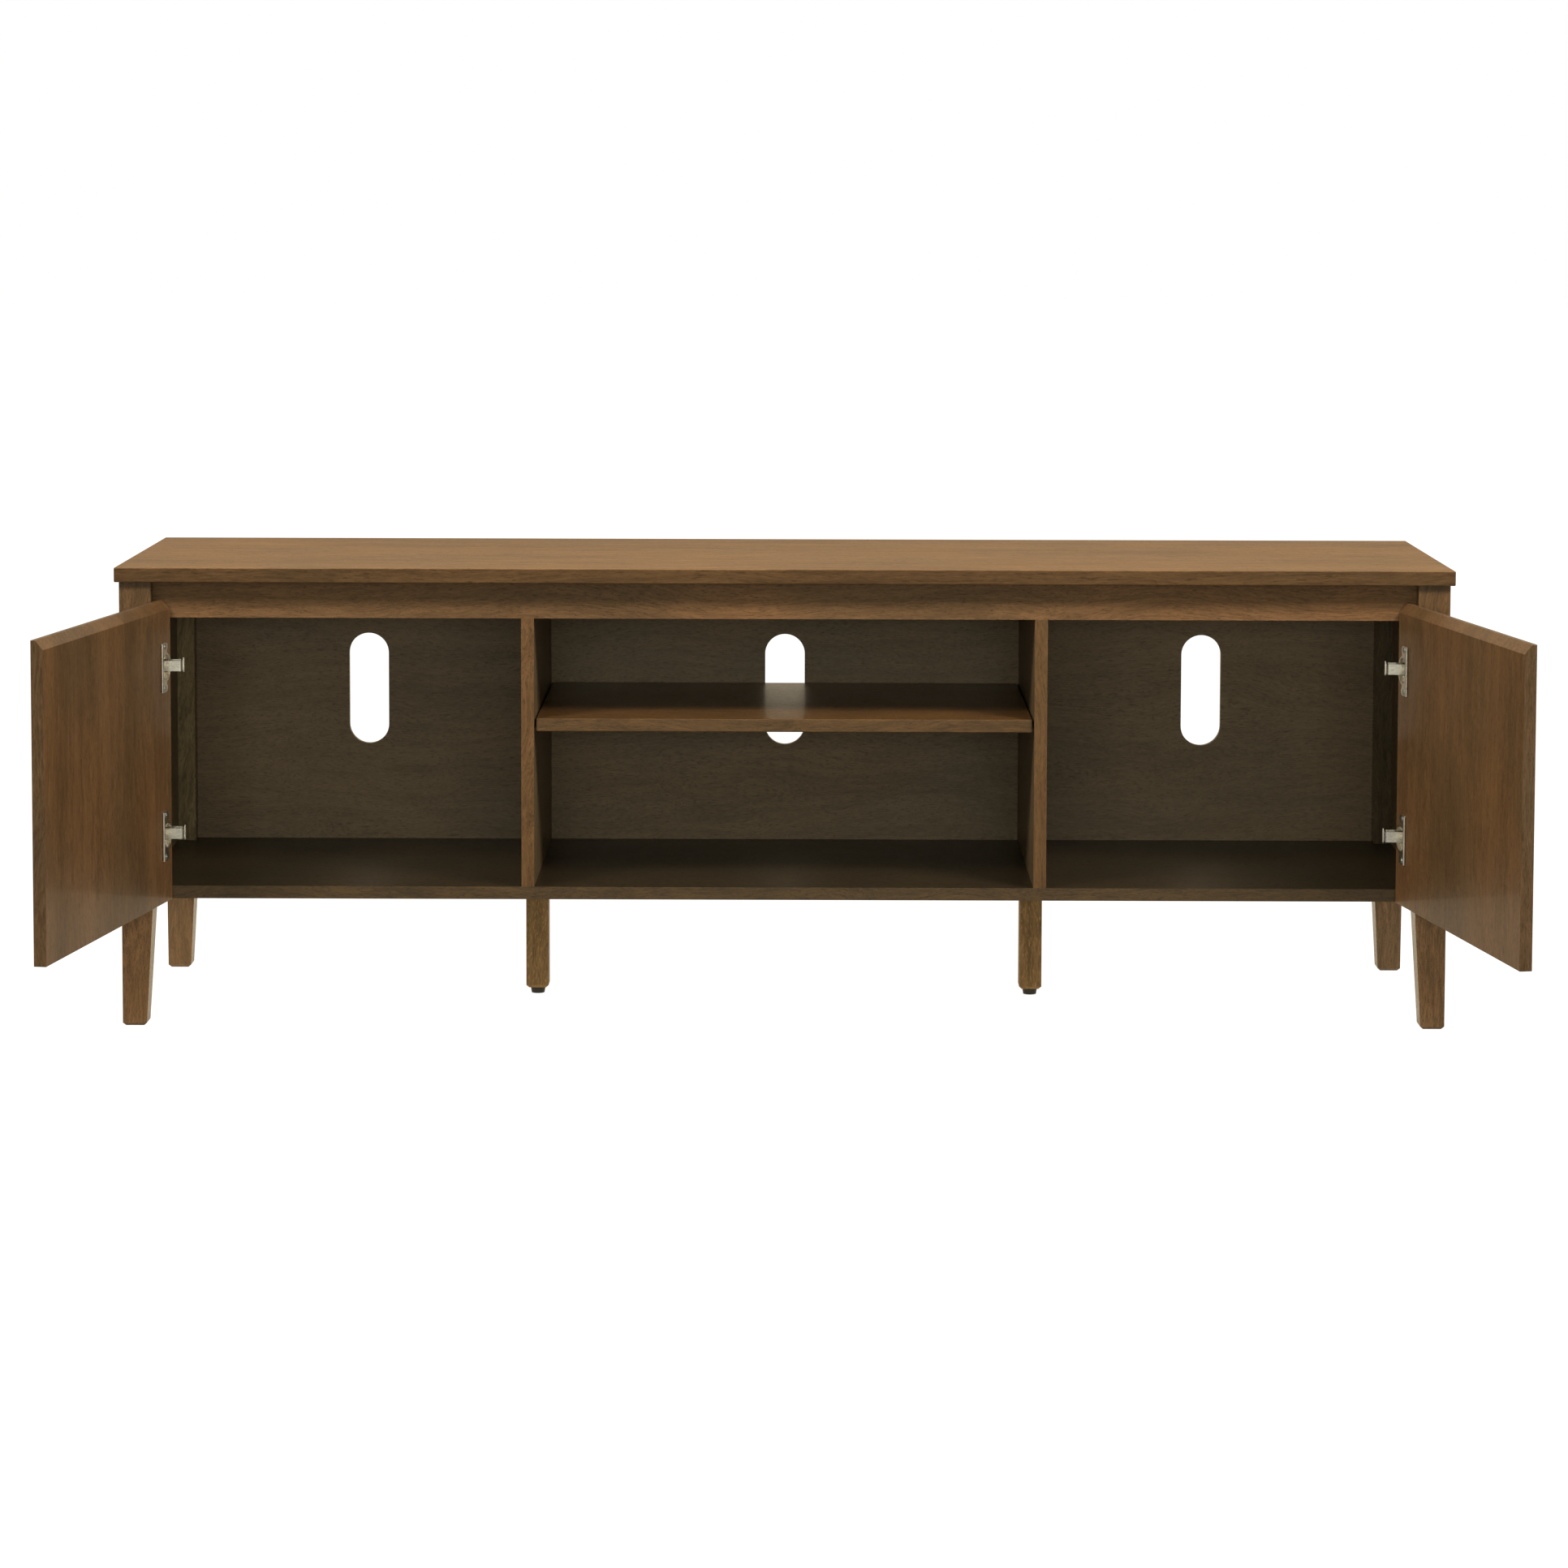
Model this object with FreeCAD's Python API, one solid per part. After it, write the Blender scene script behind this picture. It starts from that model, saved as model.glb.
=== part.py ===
# Media cabinet: a three-bay carcase on four tapered corner posts and two middle legs, with two inset doors on
# single-pin concealed hinges. Millimetres, +Z up, front towards -Y. Rest pose: both doors open.
import FreeCAD, Part
import os

os.makedirs("parts", exist_ok=True)
V = FreeCAD.Vector
X_AXIS = V(1, 0, 0)
Y_AXIS = V(0, 1, 0)
Z_AXIS = V(0, 0, 1)

# overall
WIDTH = 1778.0
DEPTH = 470.0
HEIGHT = 616.0
TOP_T = 19.5
EDGE_R = 1.0
CENTRE_Y = -0.97             # middle of the whole piece's depth, doors open, behind the top's front edge

# corner posts
SIDE_OVERHANG = 5.5
END_OVERHANG = 8.5
POST = 42.0
POST_FOOT = 32.0
FOOT_CHAMFER = 4.0

# carcase boards
BOARD_Z = 169.0              # underside of the carcase
BOTTOM_T = 17.0
SIDE_T = 16.0
SIDE_SET_BACK = 1.5
RAIL_H = 49.5
RAIL_T = 18.0
FRAME_SET_BACK = 20.5        # from the posts' front face to the rail and the dividers
DIVIDER_T = 17.0
DIVIDER_X = 334.0            # middle bay's half width
BACK_T = 10.0
BACK_Y = 444.0               # back panel's front face
RABBET = 8.0
SHELF_Z = 394.7
SHELF_T = 17.6
SHELF_SET_BACK = 5.0
SHELF_GAP = 2.5
SLOT_W = 56.4
SLOT_Z = (323.0, 482.0)
SLOT_X = (-595.0, 0.0, 595.0)

# middle legs
MID_LEG = 31.0
MID_LEG_Y = 238.0
MID_LEG_X = 327.0
MID_LEG_LIFT = 8.5
GLIDE_R = (9.0, 10.5)

# doors
DOOR_W = 502.0
DOOR_T = 16.2
DOOR_Z = (169.0, 571.0)
DOOR_GAP = 4.0
DOOR_OPEN = 99.5
PULL_FLAT = 6.3              # flat left on the door's top edge in front of the finger pull
PULL_DROP = 12.0

# hinges, measured from the post's inner face (x) and the closed door's outer face (y)
HINGE_Z = (258.5, 483.5)
PIN_X = 13.2
PIN_Y = 7.0
PIN_R = 1.5
PIN_FIT = 0.04
EYE_R = 2.4
CUP_X = 25.3
CUP_R = 17.5
CUP_WALL = 0.8
CUP_DEPTH = 12.5
CUP_FLOOR = 0.5
RIM_R = 19.0
FLANGE_T = 1.2
FLANGE_X = (20.0, 46.0)
FLANGE_H = 66.0
ROLL_R = 1.7
ROLL_BORE_R = 0.8
ROLL_H = 65.0
WAIST_R = 4.5
SCREW_PITCH = 56.0
ARM_T = 1.8
ARM_W = 14.0
ARM_REACH = 39.0
ARM_BACK = 26.0
CLIP_Y = (20.6, 25.4)
CLIP_H = 19.0
CLIP_T = 1.2
PLATE_Y = (21.5, 41.5)
PLATE_H = 34.0
PLATE_T = 1.8
BOSS_X = 8.0

# fixings
DOWEL_R = 4.0
PIN_SHELF_R = 2.5

POST_OUT = WIDTH / 2 - SIDE_OVERHANG
POST_IN = POST_OUT - POST
POST_FRONT = END_OVERHANG
POST_BACK = DEPTH - END_OVERHANG
TOP_Z = HEIGHT - TOP_T
FRAME_Y = POST_FRONT + FRAME_SET_BACK
SIDE_OUT = POST_OUT - SIDE_SET_BACK
SIDE_IN = SIDE_OUT - SIDE_T
RAIL_Z = TOP_Z - RAIL_H
FLOOR_Z = BOARD_Z + BOTTOM_T
DIVIDER_MID = DIVIDER_X + DIVIDER_T / 2
PIN_POS = V(-POST_IN + PIN_X, POST_FRONT + PIN_Y, 0)


def block(x, y, z):
    """Box between the given pairs of coordinates."""
    return Part.makeBox(x[1] - x[0], y[1] - y[0], z[1] - z[0], V(x[0], y[0], z[0]))


def eased(shape, radius=EDGE_R):
    """The shape with every straight edge rounded a little."""
    return shape.makeFillet(radius, shape.Edges)


def rod(radius, length, base, axis):
    return Part.makeCylinder(radius, length, base, axis)


def centred_rod(radius, length, middle, axis):
    return rod(radius, length, middle - axis * (length / 2), axis)


def mirror(shape):
    return shape.mirror(V(0, 0, 0), X_AXIS)


def both(shapes):
    """The shapes and their mirror images across the middle plane."""
    return shapes + [mirror(s) for s in shapes]


def cut(shape, tools):
    for tool in tools:
        shape = shape.cut(tool)
    return shape


def prism(points, vector):
    return Part.Face(Part.makePolygon(points + [points[0]])).extrude(vector)


def cross_slot(top, axis):
    """Two crossed slots for a screw head whose top is at the given point."""
    bars = []
    for along in (X_AXIS, Y_AXIS, Z_AXIS):
        if abs(along.dot(axis)) < 0.5:
            half = V(0.45, 0.45, 0.45) + along * 1.9 + V(abs(axis.x), abs(axis.y), abs(axis.z)) * 0.55
            bars.append(Part.makeBox(2 * half.x, 2 * half.y, 2 * half.z, top - half))
    return bars


def screw(tip, axis, length, shank_r, head_r, proud=0.0):
    """Screw whose axis points out of the head, the head's top standing proud of its seat."""
    cone_h = head_r - shank_r
    seat = tip + axis * length
    shank = rod(shank_r, length - cone_h, tip, axis)
    cone = Part.makeCone(shank_r, head_r, cone_h, seat - axis * cone_h, axis)
    body = shank.fuse(cone)
    if proud > 0:
        body = body.fuse(rod(head_r, proud, seat, axis))
    return body.removeSplitter()


def driven(screws, axis):
    """The screws with a driver's cross in their heads; axis points out of the heads."""
    made = []
    for s in screws:
        box = s.BoundBox
        top = box.Center + V(box.XLength * axis.x, box.YLength * axis.y, box.ZLength * axis.z) / 2
        made.append(cut(s, cross_slot(top, axis)))
    return made


nodes = {}

# ---------------------------------------------------------------- fixings, placed first so that the boards are bored
rail_dowels = []
for z in (560.0, 583.0):
    rail_dowels.append(centred_rod(DOWEL_R, 30, V(-POST_IN, FRAME_Y + RAIL_T / 2, z), X_AXIS))
rail_dowels = both(rail_dowels)

side_dowels = []
for y in (POST_FRONT + POST, POST_BACK - POST):
    for z in (215.0, 385.0, 545.0):
        side_dowels.append(centred_rod(DOWEL_R, 30, V(-(SIDE_IN + SIDE_T / 2), y, z), Y_AXIS))
side_dowels = both(side_dowels)

bottom_dowels = []
for y in (130.0, 350.0):
    bottom_dowels.append(centred_rod(DOWEL_R, 22, V(-SIDE_IN, y, BOARD_Z + BOTTOM_T / 2), X_AXIS))
bottom_dowels = both(bottom_dowels)

top_dowels = []
for y in (POST_FRONT + POST / 2, POST_BACK - POST / 2):
    top_dowels.append(centred_rod(DOWEL_R, 24, V(-(POST_IN + POST / 2), y, TOP_Z), Z_AXIS))
for y in (150.0, 350.0):
    top_dowels.append(centred_rod(DOWEL_R, 24, V(-DIVIDER_MID, y, TOP_Z), Z_AXIS))
top_dowels = both(top_dowels)

bottom_screws = []
for y in (95.0, 190.0, 400.0):
    bottom_screws.append(screw(V(-DIVIDER_MID, y, BOARD_Z + 50), -Z_AXIS, 50, 2.2, 4.2))
bottom_screws = both(bottom_screws)

back_screws = []
back_face = BACK_Y + BACK_T
for x in (POST_IN + RABBET / 2, DIVIDER_MID):
    for z in (215.0, 390.0, 560.0):
        back_screws.append(screw(V(-x, back_face - 30, z), Y_AXIS, 30, 1.6, 3.4))
for x in (180.0, 600.0):
    back_screws.append(screw(V(-x, back_face - 30, BOARD_Z + BOTTOM_T / 2), Y_AXIS, 30, 1.6, 3.4))
back_screws = both(back_screws)

shelf_pins = []
for y in (85.0, 385.0):
    shelf_pins.append(rod(PIN_SHELF_R, 16, V(-DIVIDER_X - 8, y, SHELF_Z - PIN_SHELF_R), X_AXIS))
shelf_pins = both(shelf_pins)

leg_mid = V(-(MID_LEG_X + MID_LEG / 2), MID_LEG_Y + MID_LEG / 2, 0)
leg_bolts = both([rod(4, 52, leg_mid + Z_AXIS * (FLOOR_Z - 5 - 52), Z_AXIS)])

nodes["rail_dowels"] = rail_dowels
nodes["side_panel_dowels"] = side_dowels
nodes["bottom_panel_dowels"] = bottom_dowels
nodes["top_dowels"] = top_dowels
nodes["divider_screws"] = driven(bottom_screws, -Z_AXIS)
nodes["back_panel_screws"] = driven(back_screws, Y_AXIS)
nodes["shelf_pins"] = shelf_pins
nodes["middle_leg_bolts"] = leg_bolts

# ---------------------------------------------------------------- hinge screws, left side
cup_screws = []
plate_screws = []
clamp_screws = []
for z in HINGE_Z:
    for dz in (-SCREW_PITCH / 2, SCREW_PITCH / 2):
        tip = V(-POST_IN + CUP_X + 5.5, POST_FRONT + DOOR_T + FLANGE_T - 14, z + dz)
        cup_screws.append(screw(tip, Y_AXIS, 14, 1.7, 3.6, 0.7))
    for dz in (-12.0, 12.0):
        tip = V(-POST_IN + PLATE_T - 18, POST_FRONT + 31, z + dz)
        plate_screws.append(screw(tip, X_AXIS, 18, 1.8, 3.4, 0.6))
    tip = V(-POST_IN + 2.4, POST_FRONT + 35, z)
    clamp_screws.append(rod(2.0, BOSS_X + ARM_T - 2.4, tip, X_AXIS).fuse(
        rod(3.8, 2.0, tip + X_AXIS * (BOSS_X + ARM_T - 2.4), X_AXIS)).removeSplitter())


# ---------------------------------------------------------------- corner posts
def corner_post():
    """Front left post: square to the carcase, tapered below it on the two inner faces, chamfered at the foot."""
    post = block((-POST_OUT, -POST_IN), (POST_FRONT, POST_FRONT + POST), (0, TOP_Z))
    lost = POST - POST_FOOT
    inner = -POST_IN
    wedge_x = prism([V(inner, 0, BOARD_Z), V(inner - lost, 0, 0), V(inner + 5, 0, 0), V(inner + 5, 0, BOARD_Z)],
                    V(0, 100, 0))
    rear = POST_FRONT + POST
    wedge_y = prism([V(-POST_OUT, rear, BOARD_Z), V(-POST_OUT, rear - lost, 0), V(-POST_OUT, rear + 5, 0),
                     V(-POST_OUT, rear + 5, BOARD_Z)], V(100, 0, 0))
    post = post.cut(wedge_x).cut(wedge_y)
    post = post.makeChamfer(FOOT_CHAMFER, [e for e in post.Edges if e.BoundBox.ZMax < 0.01])
    return post


front_left = corner_post()
turn_back = 2 * (POST_FRONT + POST_BACK) / 2
rear_left = front_left.mirror(V(0, turn_back / 2, 0), Y_AXIS)
rabbet = block((-POST_IN - RABBET, -POST_IN + 1), (BACK_Y, POST_BACK + 1), (BOARD_Z, TOP_Z + 1))
rear_left = rear_left.cut(rabbet)


def arris(shape):
    """A post with its long upright edges eased."""
    upright = [e for e in shape.Edges
               if e.BoundBox.ZLength > 300 and e.BoundBox.XLength < 0.1 and e.BoundBox.YLength < 0.1]
    outer = [e for e in upright if not (abs(abs(e.BoundBox.XMin) - POST_IN - RABBET) < 0.1)]
    return shape.makeFillet(EDGE_R, outer)


bores = rail_dowels + side_dowels + top_dowels
posts = {"front_post_left": cut(front_left, bores + plate_screws),
         "rear_post_left": cut(rear_left, bores + back_screws)}
for name, post in posts.items():
    nodes[name] = [post]
    nodes[name.replace("left", "right")] = [mirror(post)]

# ---------------------------------------------------------------- boards
top = eased(block((-WIDTH / 2, WIDTH / 2), (0, DEPTH), (TOP_Z, HEIGHT)), 1.5)
nodes["top_panel"] = [cut(top, top_dowels)]

rail_box = block((-POST_IN, POST_IN), (FRAME_Y, FRAME_Y + RAIL_T), (RAIL_Z, TOP_Z))
nodes["front_rail"] = [cut(rail_box, rail_dowels)]

side = block((-SIDE_OUT, -SIDE_IN), (POST_FRONT + POST, POST_BACK - POST), (BOARD_Z, TOP_Z))
side = cut(side, side_dowels + bottom_dowels)
nodes["side_panel_left"] = [side]
nodes["side_panel_right"] = [mirror(side)]

bottom = block((-SIDE_IN, SIDE_IN), (FRAME_Y, BACK_Y), (BOARD_Z, FLOOR_Z))
for x in ((-POST_OUT, -POST_IN), (POST_IN, POST_OUT)):
    for y in ((0, POST_FRONT + POST), (POST_BACK - POST, DEPTH)):
        bottom = bottom.cut(block(x, y, (0, HEIGHT)))
nodes["bottom_panel"] = [cut(bottom, bottom_dowels + bottom_screws + back_screws + leg_bolts)]

divider = block((-DIVIDER_X - DIVIDER_T, -DIVIDER_X), (FRAME_Y, BACK_Y), (FLOOR_Z, TOP_Z)).cut(rail_box)
divider = cut(divider, top_dowels + bottom_screws + back_screws + shelf_pins)
nodes["divider_left"] = [divider]
nodes["divider_right"] = [mirror(divider)]

shelf_x = DIVIDER_X - SHELF_GAP
shelf = block((-shelf_x, shelf_x), (FRAME_Y + SHELF_SET_BACK, BACK_Y - 3), (SHELF_Z, SHELF_Z + SHELF_T))
nodes["shelf"] = [eased(shelf, 1.2)]

back_x = POST_IN + RABBET
back = block((-back_x, back_x), (BACK_Y, BACK_Y + BACK_T), (BOARD_Z, TOP_Z))
for x in SLOT_X:
    r = SLOT_W / 2
    back = back.cut(block((x - r, x + r), (0, DEPTH), (SLOT_Z[0] + r, SLOT_Z[1] - r)))
    for z in (SLOT_Z[0] + r, SLOT_Z[1] - r):
        back = back.cut(rod(r, DEPTH, V(x, 0, z), Y_AXIS))
nodes["back_panel"] = [cut(back, back_screws).removeSplitter()]

# ---------------------------------------------------------------- middle legs and their glides
leg = block((-MID_LEG_X - MID_LEG, -MID_LEG_X), (MID_LEG_Y, MID_LEG_Y + MID_LEG), (MID_LEG_LIFT, BOARD_Z))
leg = leg.makeChamfer(FOOT_CHAMFER, [e for e in leg.Edges if e.BoundBox.ZMax < MID_LEG_LIFT + 0.01])
stem = rod(4, 34, leg_mid + Z_AXIS * MID_LEG_LIFT, Z_AXIS)
pad = Part.makeCone(GLIDE_R[0], GLIDE_R[1], MID_LEG_LIFT, leg_mid, Z_AXIS)
leg = cut(leg, leg_bolts + [stem])
nodes["middle_leg_left"] = [leg]
nodes["middle_leg_right"] = [mirror(leg)]
glide = pad.fuse(stem).removeSplitter()
nodes["glide_left"] = [glide]
nodes["glide_right"] = [mirror(glide)]

# ---------------------------------------------------------------- left door, closed
door_x = -POST_IN + DOOR_GAP
door_back = POST_FRONT + DOOR_T
door_top = DOOR_Z[1]
door = block((door_x, door_x + DOOR_W), (POST_FRONT, door_back), DOOR_Z)
pull = prism([V(door_x - 5, POST_FRONT + PULL_FLAT, door_top), V(door_x - 5, door_back + 1, door_top),
              V(door_x - 5, door_back + 1, door_top - PULL_DROP), V(door_x - 5, door_back, door_top - PULL_DROP)],
             V(DOOR_W + 10, 0, 0))
door = eased(door.cut(pull), 0.8)


# ---------------------------------------------------------------- hinge, left side, door closed
def local(x, y, z):
    return V(-POST_IN + x, POST_FRONT + y, z)


def hinge_cup(z):
    """Pressed cup with its rim, a screwed flange with one rolled edge, and two lugs that hold the pin."""
    floor_y = DOOR_T - CUP_DEPTH
    shell = rod(CUP_R, CUP_DEPTH, local(CUP_X, floor_y, z), Y_AXIS)
    flange = block((FLANGE_X[0], FLANGE_X[1] - ROLL_R), (0, FLANGE_T), (-FLANGE_H / 2, FLANGE_H / 2))
    corners = [e for e in flange.Edges
               if abs(e.BoundBox.YLength - FLANGE_T) < 0.01 and abs(e.BoundBox.XMin - FLANGE_X[0]) < 0.1]
    flange = flange.makeFillet(6, corners)
    roll_foot = V(FLANGE_X[1] - ROLL_R, ROLL_R, -ROLL_H / 2)
    for dz in (-RIM_R - 2, RIM_R + 2):
        flange = flange.cut(rod(WAIST_R, 10, V(FLANGE_X[0] - 2, -5, dz), Y_AXIS))
    flange = flange.fuse(rod(ROLL_R, ROLL_H, roll_foot, Z_AXIS))
    flange = flange.cut(rod(ROLL_BORE_R, ROLL_H + 2, roll_foot - Z_AXIS, Z_AXIS))
    flange.translate(local(0, DOOR_T, z))
    rim = rod(RIM_R, FLANGE_T, local(CUP_X, DOOR_T, z), Y_AXIS)
    hollow_r = CUP_R - CUP_WALL
    hollow = rod(hollow_r, CUP_DEPTH + 5, local(CUP_X, floor_y + CUP_FLOOR, z), Y_AXIS)
    body = shell.fuse([flange, rim]).cut(hollow)
    inside = rod(CUP_R - CUP_WALL / 2, 5.4, local(CUP_X, floor_y + CUP_FLOOR / 2, z), Y_AXIS)
    for dz in (-10.2, 7.7):
        lug = block((PIN_X - 3.4, PIN_X + 3.4), (floor_y, PIN_Y + 2.4), (dz, dz + 2.5))
        lug.translate(local(0, 0, z))
        body = body.fuse(lug.common(inside))
    return body.removeSplitter()


def hinge_pin(z):
    return centred_rod(PIN_R, 20, local(PIN_X, PIN_Y, z), Z_AXIS)


def hinge_arm(z):
    """Goose-neck arm of bent strip: eye on the pin, out of the cup, round the door's edge, back along the plate."""
    t = ARM_T / 2
    back_end = PLATE_Y[1] - 1.5
    left = BOSS_X + t
    outline = [(PIN_X, PIN_Y - t), (ARM_REACH + t, PIN_Y - t), (ARM_REACH + t, ARM_BACK + t),
               (left + t, ARM_BACK + t), (left + t, back_end), (left - t, back_end), (left - t, ARM_BACK - t),
               (ARM_REACH - t, ARM_BACK - t), (ARM_REACH - t, PIN_Y + t), (PIN_X, PIN_Y + t)]
    strip = prism([local(x, y, z - ARM_W / 2) for x, y in outline], V(0, 0, ARM_W))
    bends = [(ARM_REACH + t, PIN_Y - t, 3.4), (ARM_REACH + t, ARM_BACK + t, 3.4), (left - t, ARM_BACK - t, 2.6),
             (ARM_REACH - t, PIN_Y + t, 1.6), (ARM_REACH - t, ARM_BACK - t, 1.6), (left + t, ARM_BACK + t, 0.8)]
    for x, y, radius in bends:
        corner = local(x, y, z)
        edges = [e for e in strip.Edges
                 if e.BoundBox.ZLength > 1 and (e.CenterOfMass - corner).Length < 0.5]
        strip = strip.makeFillet(radius, edges)
    eye = centred_rod(EYE_R, ARM_W, local(PIN_X, PIN_Y, z), Z_AXIS)
    bore = centred_rod(PIN_R + PIN_FIT, ARM_W + 4, local(PIN_X, PIN_Y, z), Z_AXIS)
    clip_x = (ARM_REACH + t - 0.6, ARM_REACH + t + CLIP_T)
    clip = block(clip_x, CLIP_Y, (-CLIP_H / 2, CLIP_H / 2))
    clip = clip.makeFillet(0.5, [e for e in clip.Edges if e.BoundBox.XLength < 0.01])
    clip.translate(local(0, 0, z))
    return strip.fuse([eye, clip]).cut(bore).removeSplitter()


def mounting_plate(z):
    base = block((0, PLATE_T), PLATE_Y, (-PLATE_H / 2, PLATE_H / 2))
    base = base.makeFillet(4, [e for e in base.Edges if abs(e.BoundBox.XLength - PLATE_T) < 0.01])
    boss = block((PLATE_T - 0.5, BOSS_X), (PLATE_Y[0] + 2, PLATE_Y[1] - 1), (-6.5, 6.5))
    plate = base.fuse(boss).removeSplitter()
    plate.translate(local(0, 0, z))
    return plate


levels = {"lower": HINGE_Z[0], "upper": HINGE_Z[1]}
cups = {level: hinge_cup(z) for level, z in levels.items()}
pins = {level: hinge_pin(z) for level, z in levels.items()}
pockets = []
for z in HINGE_Z:
    pockets.append(rod(CUP_R, CUP_DEPTH + 1, local(CUP_X, DOOR_T - CUP_DEPTH, z), Y_AXIS))
door = cut(door, pockets + cup_screws)


def opened(shape):
    """A piece of the left door turned about the hinge pins to the open stop."""
    turned = shape.copy()
    turned.rotate(PIN_POS, Z_AXIS, -DOOR_OPEN)
    return turned


moving = {"door": [door], "cup_screws": driven(cup_screws, Y_AXIS)}
for level in levels:
    moving["%s_hinge_cup" % level] = [cut(cups[level], cup_screws + [pins[level]])]
    moving["%s_hinge_pin" % level] = [pins[level]]
for name, shapes in moving.items():
    nodes[name + "_left"] = [opened(s) for s in shapes]
    nodes[name + "_right"] = [mirror(opened(s)) for s in shapes]

for level, z in levels.items():
    fixed = {"%s_hinge_arm" % level: cut(hinge_arm(z), clamp_screws),
             "%s_hinge_plate" % level: cut(mounting_plate(z), clamp_screws + plate_screws)}
    for name, shape in fixed.items():
        nodes[name + "_left"] = [shape]
        nodes[name + "_right"] = [mirror(shape)]
nodes["hinge_plate_screws"] = both(driven(plate_screws, X_AXIS))
nodes["hinge_clamp_screws"] = both(clamp_screws)

# ---------------------------------------------------------------- write
whole = FreeCAD.BoundBox()
for shapes in nodes.values():
    for s in shapes:
        whole.add(s.BoundBox)
print("depth runs from %.3f to %.3f, middle %.3f" % (whole.YMin, whole.YMax, (whole.YMin + whole.YMax) / 2))
print("width %.3f, height %.3f to %.3f" % (whole.XLength, whole.ZMin, whole.ZMax))
print("door axis x %.3f, y %.3f" % (PIN_POS.x, PIN_POS.y - CENTRE_Y))
for name, shapes in nodes.items():
    shape = shapes[0] if len(shapes) == 1 else Part.makeCompound(shapes)
    shape.translate(V(0, -CENTRE_Y, 0))
    if not shape.isValid():
        print("not valid:", name)
    print("%-26s solids %2d  volume %.0f" % (name, len(shape.Solids), shape.Volume))
    shape.exportStep("parts/%s.step" % name)
print(len(nodes), "nodes")
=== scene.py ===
"""Looks of the media cabinet: stained and lacquered wood, plated hinges, studio light and the camera."""
import math

import bpy
from mathutils import Euler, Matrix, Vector

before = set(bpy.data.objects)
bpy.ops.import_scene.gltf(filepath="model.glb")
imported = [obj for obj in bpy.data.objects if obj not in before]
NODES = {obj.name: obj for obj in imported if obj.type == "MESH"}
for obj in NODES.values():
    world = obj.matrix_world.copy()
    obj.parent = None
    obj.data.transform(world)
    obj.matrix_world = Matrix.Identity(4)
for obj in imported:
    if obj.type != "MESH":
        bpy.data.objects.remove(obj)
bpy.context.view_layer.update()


# ---------------------------------------------------------------- node helpers
def new_material(name):
    mat = bpy.data.materials.new(name)
    mat.use_nodes = True
    tree = mat.node_tree
    return mat, tree, tree.nodes["Principled BSDF"]


def node(tree, kind, inputs=None, **props):
    made = tree.nodes.new(kind)
    for key, value in props.items():
        setattr(made, key, value)
    for key, value in (inputs or {}).items():
        if isinstance(value, bpy.types.NodeSocket):
            tree.links.new(value, made.inputs[key])
        else:
            made.inputs[key].default_value = value
    return made


def math_node(tree, operation, a, b=0.0, clamp=False):
    return node(tree, "ShaderNodeMath", {0: a, 1: b}, operation=operation, use_clamp=clamp).outputs[0]


def vector_math(tree, operation, inputs):
    return node(tree, "ShaderNodeVectorMath", inputs, operation=operation).outputs[0]


def noise(tree, vector, scale, detail=3.0, roughness=0.55, distortion=0.0):
    inputs = {"Vector": vector, "Scale": scale, "Detail": detail,
              "Roughness": roughness, "Distortion": distortion}
    return node(tree, "ShaderNodeTexNoise", inputs).outputs[0]


def stretch(tree, vector, scale):
    return node(tree, "ShaderNodeMapping", {"Vector": vector, "Scale": scale}).outputs[0]


def ramp(tree, value, stops):
    made = node(tree, "ShaderNodeValToRGB", {0: value})
    elements = made.color_ramp.elements
    while len(elements) < len(stops):
        elements.new(0.5)
    for element, (position, colour) in zip(elements, stops):
        element.position = position
        element.color = (*colour, 1.0) if len(colour) == 3 else colour
    return made.outputs[0]


def mix(tree, factor, a, b, blend="MIX"):
    made = node(tree, "ShaderNodeMix", data_type="RGBA", blend_type=blend)
    for socket, value in ((made.inputs[0], factor), (made.inputs[6], a), (made.inputs[7], b)):
        if isinstance(value, bpy.types.NodeSocket):
            tree.links.new(value, socket)
        elif isinstance(value, tuple) and len(value) == 3:
            socket.default_value = (*value, 1.0)
        else:
            socket.default_value = value
    return made.outputs[2]


def grey(value):
    return (value, value, value)


def scaled(colour, factor):
    return tuple(c * factor for c in colour)


# ---------------------------------------------------------------- wood
TURN = {"x": (0, 0, 0), "y": (0, 0, math.radians(90)), "z": (0, math.radians(90), 0)}


def grain_space(tree, along, offset, wave):
    """Object space with the grain along x, gently bent as a sawn board's grain is."""
    place = node(tree, "ShaderNodeTexCoord").outputs["Object"]
    inputs = {"Vector": place, "Rotation": TURN[along], "Location": offset}
    turned = node(tree, "ShaderNodeMapping", inputs).outputs[0]
    inputs = {"Vector": stretch(tree, turned, (1, 2.2, 2.2)), "Scale": 3.0, "Detail": 2.0}
    drift = node(tree, "ShaderNodeTexNoise", inputs).outputs[1]
    drift = vector_math(tree, "SUBTRACT", {0: drift, 1: grey(0.5)})
    drift = vector_math(tree, "SCALE", {0: drift, "Scale": wave})
    return turned, vector_math(tree, "ADD", {0: turned, 1: drift})


def away_from(tree, axis, side, base):
    """0 on the faces above height base that look along the axis, and 1 elsewhere. side is 1 or -1 for the
    faces that look that way along it, and 0 for both."""
    place = node(tree, "ShaderNodeTexCoord").outputs
    across = node(tree, "ShaderNodeSeparateXYZ", {0: place["Normal"]}).outputs[axis]
    across = math_node(tree, "MULTIPLY", across, side) if side else math_node(tree, "ABSOLUTE", across)
    height = node(tree, "ShaderNodeSeparateXYZ", {0: place["Object"]}).outputs["Z"]
    return math_node(tree, "MAXIMUM", math_node(tree, "LESS_THAN", across, 0.5),
                     math_node(tree, "LESS_THAN", height, base))


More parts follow.
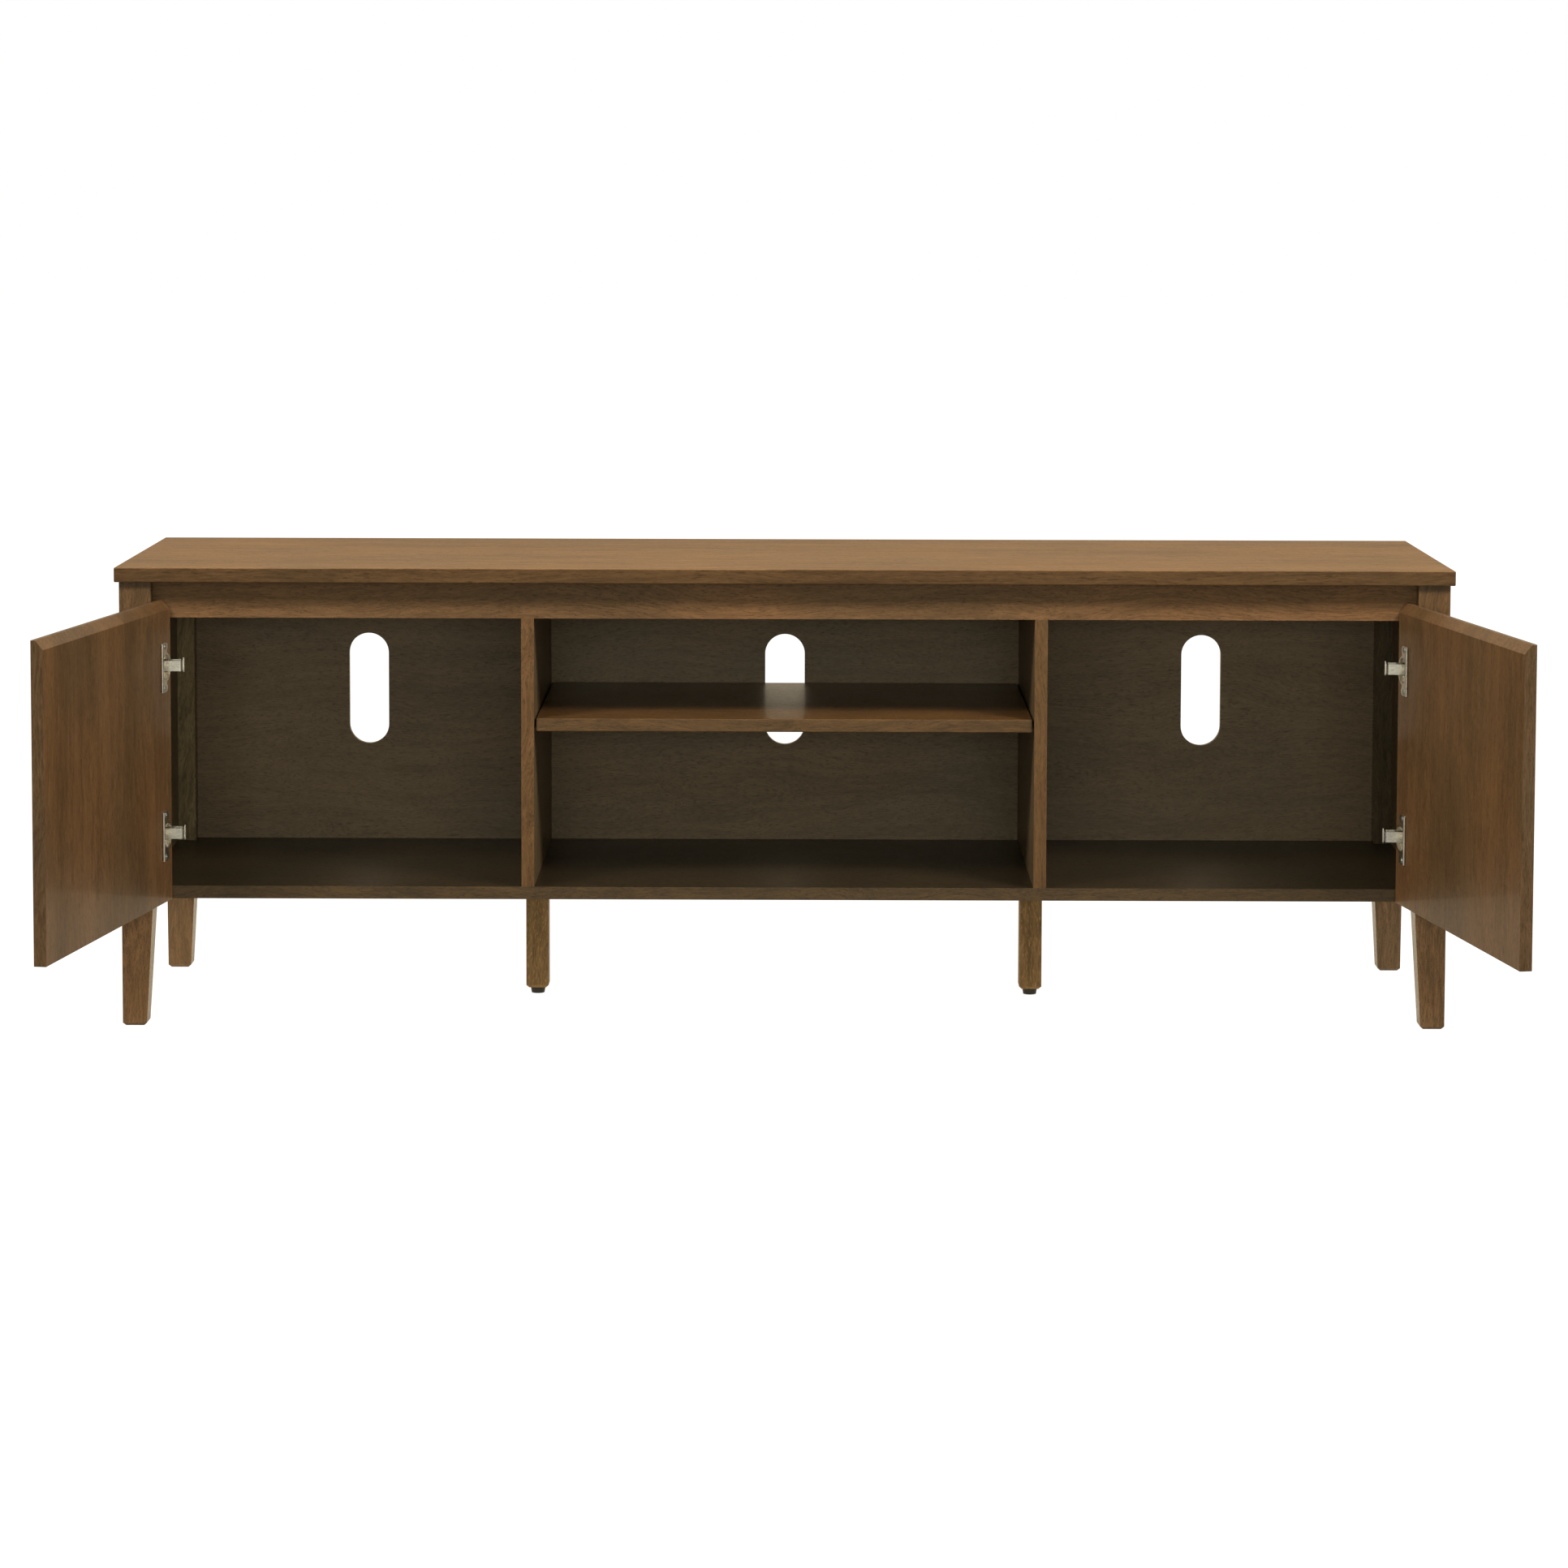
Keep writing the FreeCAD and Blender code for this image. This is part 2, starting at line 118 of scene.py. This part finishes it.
LACQUER_TINT = (1.0, 0.9, 0.78, 1.0)
PATINA_TINT = (0.62, 0.74, 0.85)
SHADE_SPREAD = 1.2
TONE_STOPS = (0.42, 0.5, 0.58)
FIBRE_SHARE = 0.45
BAND_SHARE = 0.45
CLOUD_SHARE = 0.10


def grain_tone(tree, rings, broad, fibre, cloud, bands):
    """The dark and light of the grain. bands is the growth rings' share, and broad streaks have the rest."""
    tone = math_node(tree, "MULTIPLY", rings, bands)
    for layer, share in ((broad, BAND_SHARE - bands), (fibre, FIBRE_SHARE), (cloud, CLOUD_SHARE)):
        tone = math_node(tree, "ADD", tone, math_node(tree, "MULTIPLY", layer, share))
    return tone


def wood(name, colour, along="x", offset=(0, 0, 0), spread=0.3, rough=0.42, coat=0.1, specular=0.15,
         wave=0.1, bands=0.3, streak=14.0, fibres=34.0, fleck=0.5, fleck_tone=0.3, dashes=0.3, patina=0.3,
         other=None):
    """Stained wood under satin lacquer. along is the grain's axis. other holds an axis, the way that the main
    faces look along it (0 for both ways), the height they start at, and a colour that multiplies the rest:
    painted light or shade on those faces."""
    mat, tree, shader = new_material(name)
    turned, warped = grain_space(tree, along, offset, wave)
    broad = noise(tree, stretch(tree, warped, (1, streak, streak)), 1.3, 4.0, 0.6)
    rings = noise(tree, stretch(tree, warped, (1, 26, 26)), 4.5, 3.0, 0.6, 0.4)
    fibre = noise(tree, stretch(tree, warped, (1, 12, 12)), fibres, 5.0, 0.75)
    pores = noise(tree, stretch(tree, warped, (1, 7, 7)), 130.0, 2.0, 0.5)
    dents = noise(tree, stretch(tree, warped, (1, 9, 9)), 42.0, 3.0, 0.6)
    cloud = noise(tree, turned, 7.0, 3.0, 0.6)

    tone = grain_tone(tree, rings, broad, fibre, cloud, bands)
    reach = SHADE_SPREAD * spread
    shades = [scaled(colour, k) for k in (1 - reach, 1.0, 1 + reach)]
    stain_and_painted_light = ramp(tree, tone, list(zip(TONE_STOPS, shades)))
    patch = noise(tree, stretch(tree, turned, (1, 1.7, 1.7)), 3.1, 2.0, 0.5)
    worn = ramp(tree, patch, [(0.42, grey(0.0)), (0.62, grey(patina))])
    stain_and_painted_light = mix(tree, worn, stain_and_painted_light, mix(tree, 1.0, stain_and_painted_light, PATINA_TINT, "MULTIPLY"))
    if other:
        axis, side, base, tint = other
        # Painted light and shade: the faces other than the main ones are multiplied by tint, for the
        # different light that falls on them.
        elsewhere = away_from(tree, axis, side, base)
        stain_and_painted_light = mix(tree, elsewhere, stain_and_painted_light, mix(tree, 1.0, stain_and_painted_light, tint, "MULTIPLY"))
        dashes = math_node(tree, "MULTIPLY", elsewhere, dashes)
    mark = ramp(tree, dents, [(0.34, grey(1.0)), (0.40, grey(0.0))])
    stain_and_painted_light = mix(tree, math_node(tree, "MULTIPLY", mark, dashes), stain_and_painted_light, scaled(colour, 0.25))
    hole = ramp(tree, pores, [(0.35, grey(1.0)), (0.44, grey(0.0))])
    hole = math_node(tree, "MULTIPLY", hole, fleck)
    stain_and_painted_light = mix(tree, hole, stain_and_painted_light, scaled(colour, fleck_tone))
    tree.links.new(stain_and_painted_light, shader.inputs["Base Color"])

    gloss = math_node(tree, "MULTIPLY", cloud, 0.12)
    gloss = math_node(tree, "ADD", gloss, rough - 0.06)
    gloss = math_node(tree, "ADD", gloss, math_node(tree, "MULTIPLY", hole, 0.25))
    tree.links.new(gloss, shader.inputs["Roughness"])
    height = math_node(tree, "SUBTRACT", math_node(tree, "MULTIPLY", fibre, 0.6), hole)
    bump = node(tree, "ShaderNodeBump", {"Height": height, "Strength": 0.4, "Distance": 0.0003})
    tree.links.new(bump.outputs[0], shader.inputs["Normal"])
    shader.inputs["Specular IOR Level"].default_value = specular
    shader.inputs["Specular Tint"].default_value = LACQUER_TINT
    shader.inputs["Coat Weight"].default_value = coat
    shader.inputs["Coat Roughness"].default_value = 0.1
    return mat


def metal(name, colour, rough, streaks=0.08):
    """Plated steel with faint rolling marks and a little tarnish in random patches."""
    mat, tree, shader = new_material(name)
    place = node(tree, "ShaderNodeTexCoord").outputs["Object"]
    marks = noise(tree, stretch(tree, place, (1, 1, 14)), 180.0, 3.0, 0.6)
    cloud = noise(tree, place, 60.0, 3.0, 0.6)
    tone = ramp(tree, cloud, [(0.3, scaled(colour, 0.82)), (0.6, colour)])
    tree.links.new(tone, shader.inputs["Base Color"])
    gloss = math_node(tree, "ADD", math_node(tree, "MULTIPLY", marks, streaks * 2), rough - streaks)
    tree.links.new(gloss, shader.inputs["Roughness"])
    bump = node(tree, "ShaderNodeBump", {"Height": marks, "Strength": 0.08, "Distance": 0.0002})
    tree.links.new(bump.outputs[0], shader.inputs["Normal"])
    shader.inputs["Metallic"].default_value = 1.0
    return mat


def plastic(name, colour, rough):
    """Moulded plastic or rubber with a fine spark-eroded grain."""
    mat, tree, shader = new_material(name)
    place = node(tree, "ShaderNodeTexCoord").outputs["Object"]
    grain = noise(tree, place, 900.0, 3.0, 0.6)
    cloud = noise(tree, place, 45.0, 3.0, 0.6)
    tone = ramp(tree, cloud, [(0.3, scaled(colour, 0.8)), (0.7, colour)])
    tree.links.new(tone, shader.inputs["Base Color"])
    gloss = math_node(tree, "ADD", math_node(tree, "MULTIPLY", grain, 0.15), rough - 0.07)
    tree.links.new(gloss, shader.inputs["Roughness"])
    bump = node(tree, "ShaderNodeBump", {"Height": grain, "Strength": 0.2, "Distance": 0.0001})
    tree.links.new(bump.outputs[0], shader.inputs["Normal"])
    return mat


# ---------------------------------------------------------------- finishes
# The stains differ from piece to piece and from face to face: beside the wood's stain they hold painted light
# and shade, in place of the light inside the cabinet.
LEG_TOP = 0.168                 # 1 mm under the carcase
# Painted light: the side panels' inner faces keep this olive colour for the light inside the bays, and the
# rest of each panel is multiplied by SIDE_TINT to a walnut brown.
SIDE_STAIN_AND_PAINTED_LIGHT = (0.185, 0.122, 0.064)
SIDE_TINT = (0.74, 0.55, 0.42)
REAR_POST = {"along": "z", "rough": 0.24, "specular": 0.4, "fleck": 0.6}

MATERIALS = {
    # Painted light: the top's upper and lower faces are about twice as light as its edges, for the light from
    # above and behind.
    "top": wood("walnut_top", (0.196, 0.100, 0.040), "x", (3.1, 0, 0), spread=0.24, rough=0.5, coat=0.04,
                specular=0.1, wave=0.05, streak=9.0, fleck=0.35, dashes=0.8,
                other=("Z", 0, 0, (0.51, 0.53, 0.56))),
    "rail": wood("walnut_rail", (0.205, 0.102, 0.043), "x", (7.7, 0.4, 0.2), spread=0.22, patina=0.5),
    # Painted shade: the bottom panel's upper and lower faces are stained about two and a half times darker
    # than its edges, for the shade in the bays.
    "bottom": wood("walnut_bottom", (0.027, 0.017, 0.007), "x", (11.3, 0.7, 0.1), rough=0.40, specular=0.5,
                   other=("Z", 0, 0, (2.6, 2.2, 1.8))),
    # Painted light: the shelf's edges are a little darker and bluer than its faces.
    "shelf": wood("walnut_shelf", (0.114, 0.052, 0.015), "x", (17.9, 0.2, 0.6), rough=0.34, specular=0.42,
                  other=("Z", 0, 0, (0.86, 0.92, 1.0))),
    # Painted light: the dividers' side faces are more olive than their edges, for the light inside the bays.
    "divider": wood("walnut_divider", (0.148, 0.096, 0.050), "z", (1.3, 0.9, 0.5), spread=0.24,
                    other=("X", 0, 0, (0.93, 0.73, 0.56))),
    "side_left": wood("walnut_side_left", SIDE_STAIN_AND_PAINTED_LIGHT, "z", (1.3, 0.9, 0.5), spread=0.24,
                      other=("X", 1, 0, SIDE_TINT)),
    "side_right": wood("walnut_side_right", SIDE_STAIN_AND_PAINTED_LIGHT, "z", (4.3, 0.9, 0.5), spread=0.24,
                       other=("X", -1, 0, SIDE_TINT)),
    "post": wood("walnut_post", (0.132, 0.068, 0.028), "z", (5.2, 0.3, 0.8), rough=0.24, specular=0.38,
                 fleck=0.6),
    # Painted light: the left rear post's front face above the legs is lighter and more olive than the rest of
    # it, for the light in the left bay.
    "rear_left": wood("walnut_rear_left", (0.330, 0.228, 0.116), offset=(8.8, 0.6, 0.1), **REAR_POST,
                      other=("Y", -1, LEG_TOP, (0.52, 0.40, 0.33))),
    # The right rear post is stained about three times darker than the left one, and its front face above the
    # legs is a little more olive than the rest of it.
    "rear_right": wood("walnut_rear_right", (0.110, 0.074, 0.037), offset=(2.8, 0.6, 0.1), **REAR_POST,
                       other=("Y", -1, LEG_TOP, (1.06, 0.86, 0.76))),
    "leg": wood("walnut_leg", (0.235, 0.138, 0.058), "z", (6.1, 0.2, 0.9), fleck=0.6, fleck_tone=2.2),
    # Painted light: the doors' edges are darker and greyer than their faces.
    "door": wood("walnut_door", (0.142, 0.070, 0.028), "z", (9.4, 0.1, 0.7), wave=0.06, bands=0.15,
                 streak=8.0, fleck=0.4, patina=0.55, other=("X", 0, 0, (0.78, 0.88, 1.05))),
    # The back panel's light olive colour is partly its own plywood colour and partly painted light inside the
    # bays.
    "back": wood("walnut_back", (0.250, 0.172, 0.106), "x", (2.6, 0.5, 0.4), spread=0.2, wave=0.09,
                 bands=0.2, streak=10.0, fibres=60.0, fleck=0.6, fleck_tone=0.5, dashes=0.0),
    "beech": wood("beech_dowel", (0.52, 0.35, 0.19), "x", spread=0.18),
    "nickel": metal("nickel_plate", (0.95, 0.89, 0.79), 0.29),
    "zinc": metal("zinc_screw", (0.60, 0.60, 0.60), 0.3),
    "black": plastic("black_plastic", (0.012, 0.012, 0.012), 0.45),
}

# The first entry whose words are in a node's name gives its finish.
FINISH = (("dowels", "beech"), ("screws", "zinc"), ("pins", "zinc"), ("bolts", "zinc"), ("hinge", "nickel"),
          ("glide", "black"), ("top_panel", "top"), ("front_rail", "rail"), ("bottom_panel", "bottom"),
          ("shelf", "shelf"), ("door", "door"), ("divider", "divider"), ("side_panel_left", "side_left"),
          ("side_panel_right", "side_right"), ("back_panel", "back"), ("rear_post_left", "rear_left"),
          ("rear_post_right", "rear_right"), ("front_post", "post"), ("middle_leg", "leg"))
SHARP_EDGED = ("rail", "bottom", "divider", "side_left", "side_right", "back", "rear_left", "rear_right",
               "post", "leg")
ARRIS = 0.0007
ARRIS_ANGLE = math.radians(60)


def finish_of(name):
    return next(finish for words, finish in FINISH if words in name)


def break_edges(piece):
    bevel = piece.modifiers.new("arris", "BEVEL")
    bevel.width = ARRIS
    bevel.segments = 2
    bevel.limit_method = "ANGLE"
    bevel.angle_limit = ARRIS_ANGLE


for name, piece in NODES.items():
    piece.data.materials.clear()
    piece.data.materials.append(MATERIALS[finish_of(name)])
    if finish_of(name) in SHARP_EDGED:
        break_edges(piece)


# ---------------------------------------------------------------- studio
CENTRE = Vector((0.0, 0.0, 0.4))
SOFT_WHITE = (0.95, 1.0, 0.87)
CREAM = (1.0, 0.84, 0.60)
KEY_WHITE = (1.0, 0.95, 0.87)
KEY_SIZE = (0.9, 0.9)
KEY_POWER = {-1: 76, 1: 98}
FRONT_LIGHT = 0.36
BACK_LIGHT = 0.7


def ease(tree, value, start, end, low, high):
    """A smooth step from low to high while value goes from start to end."""
    inputs = {"Value": value, "From Min": start, "From Max": end, "To Min": low, "To Max": high}
    return node(tree, "ShaderNodeMapRange", inputs, interpolation_type="SMOOTHSTEP").outputs[0]


def studio_white(tree, tint, strength):
    """Colour and strength of a surround that the camera sees as white and that lights the object softly."""
    path = node(tree, "ShaderNodeLightPath").outputs["Is Camera Ray"]
    lit = math_node(tree, "MULTIPLY", math_node(tree, "SUBTRACT", 1.0, path), strength)
    return mix(tree, path, tint, (1.0, 1.0, 1.0)), math_node(tree, "ADD", path, lit)


def depth_of(tree, output):
    place = node(tree, "ShaderNodeTexCoord").outputs[output]
    return node(tree, "ShaderNodeSeparateXYZ", {0: place}).outputs["Y"]


def stage_floor():
    """A pale floor with a lit sheet of paper under and behind the cabinet."""
    bpy.ops.mesh.primitive_plane_add(size=60, location=(0, 0, -0.0005))
    floor = bpy.context.object
    floor.name = "studio_floor"
    mat, tree, shader = new_material("studio_floor")
    place = node(tree, "ShaderNodeTexCoord").outputs["Object"]
    tint = ramp(tree, noise(tree, place, 0.8), [(0.3, grey(0.13)), (0.7, grey(0.15))])
    tree.links.new(tint, shader.inputs["Base Color"])
    shader.inputs["Roughness"].default_value = 0.8
    shader.inputs["Specular IOR Level"].default_value = 0.1
    paper = ease(tree, depth_of(tree, "Object"), -0.20, 0.15, 0.0, BACK_LIGHT)
    colour, strength = studio_white(tree, CREAM, paper)
    tree.links.new(colour, shader.inputs["Emission Color"])
    tree.links.new(strength, shader.inputs["Emission Strength"])
    floor.data.materials.append(mat)


def area_light(name, location, size, power, colour):
    data = bpy.data.lights.new(name, "AREA")
    data.shape = "RECTANGLE"
    data.size, data.size_y = size
    data.energy = power
    data.color = colour
    lamp = bpy.data.objects.new(name, data)
    bpy.context.scene.collection.objects.link(lamp)
    lamp.location = location
    lamp.rotation_euler = (lamp.location - CENTRE).to_track_quat("Z", "Y").to_euler()


stage_floor()
for name, side in (("key_left", -1), ("key_right", 1)):
    area_light(name, (side * 2.0, -1.7, 2.7), KEY_SIZE, KEY_POWER[side], KEY_WHITE)
area_light("fill", (0.0, -5.6, 1.1), (3.2, 0.8), 44, SOFT_WHITE)


def light_surround():
    """A surround that is dimmer in front of the cabinet and creamier behind it."""
    world = bpy.data.worlds.new("studio")
    bpy.context.scene.world = world
    world.use_nodes = True
    tree = world.node_tree
    depth = depth_of(tree, "Generated")
    surround = ease(tree, depth, -0.8, 0.3, FRONT_LIGHT, BACK_LIGHT)
    tint = mix(tree, ease(tree, depth, 0.2, 0.8, 0.0, 1.0), SOFT_WHITE, CREAM)
    colour, strength = studio_white(tree, tint, surround)
    background = tree.nodes["Background"]
    tree.links.new(colour, background.inputs[0])
    tree.links.new(strength, background.inputs[1])


light_surround()

# ---------------------------------------------------------------- camera
CAMERA_LENS = 98.56
CAMERA_SHIFT = -0.1791
CAMERA_PLACE = (0.01274, -5.65934, 1.14581)
CAMERA_TURN = (85.539, -0.15, 0.15)
camera_data = bpy.data.cameras.new("camera")
camera_data.lens = CAMERA_LENS
camera_data.sensor_width = 36.0
camera_data.shift_y = CAMERA_SHIFT
camera_data.clip_end = 100
camera = bpy.data.objects.new("camera", camera_data)
bpy.context.scene.collection.objects.link(camera)
camera.location = CAMERA_PLACE
camera.rotation_euler = Euler([math.radians(v) for v in CAMERA_TURN])
bpy.context.scene.camera = camera
bpy.context.scene.view_settings.view_transform = "Standard"
